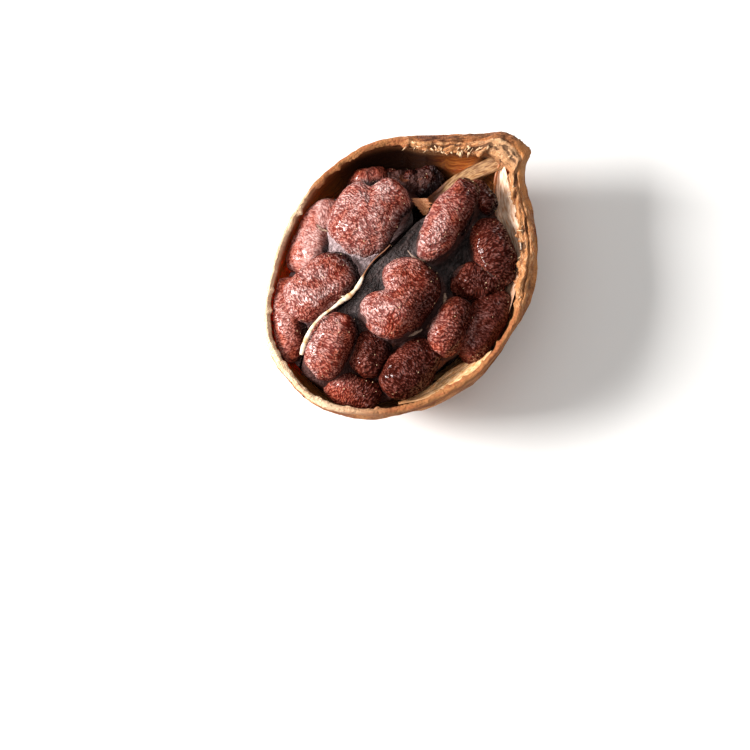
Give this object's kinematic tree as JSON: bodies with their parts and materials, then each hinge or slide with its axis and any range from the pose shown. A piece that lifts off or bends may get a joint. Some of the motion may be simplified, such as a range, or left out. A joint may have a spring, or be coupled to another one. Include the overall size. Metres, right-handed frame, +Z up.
{
  "type": "alpinia oxyphylla fruit half",
  "caption": "Half of a dried pointed-oval spice fruit: a thin fibrous husk torn open along its length, with wrinkled seeds stuck together inside it.",
  "frame": {"origin": "on the surface that the husk rests on, under the middle of the part's box", "axes": "+X along the fruit towards its beak, +Z up out of the open half, +Y across it"},
  "size_m": [0.0179, 0.0134, 0.0085],
  "materials": {
    "husk": "dry fibrous skin, matt",
    "seed_cluster_upper": "finely wrinkled, dull sheen",
    "seed_cluster_lower": "finely wrinkled, dull sheen",
    "septum_strap": "dry membrane, satin",
    "fibre_strand": "dry fibre, satin"
  },
  "bodies": {
    "root": {"husk": "husk", "seed_cluster_upper": "seed_cluster_upper", "seed_cluster_lower": "seed_cluster_lower", "septum_strap": "septum_strap", "fibre_strand": "fibre_strand"}
  },
  "joints": []
}
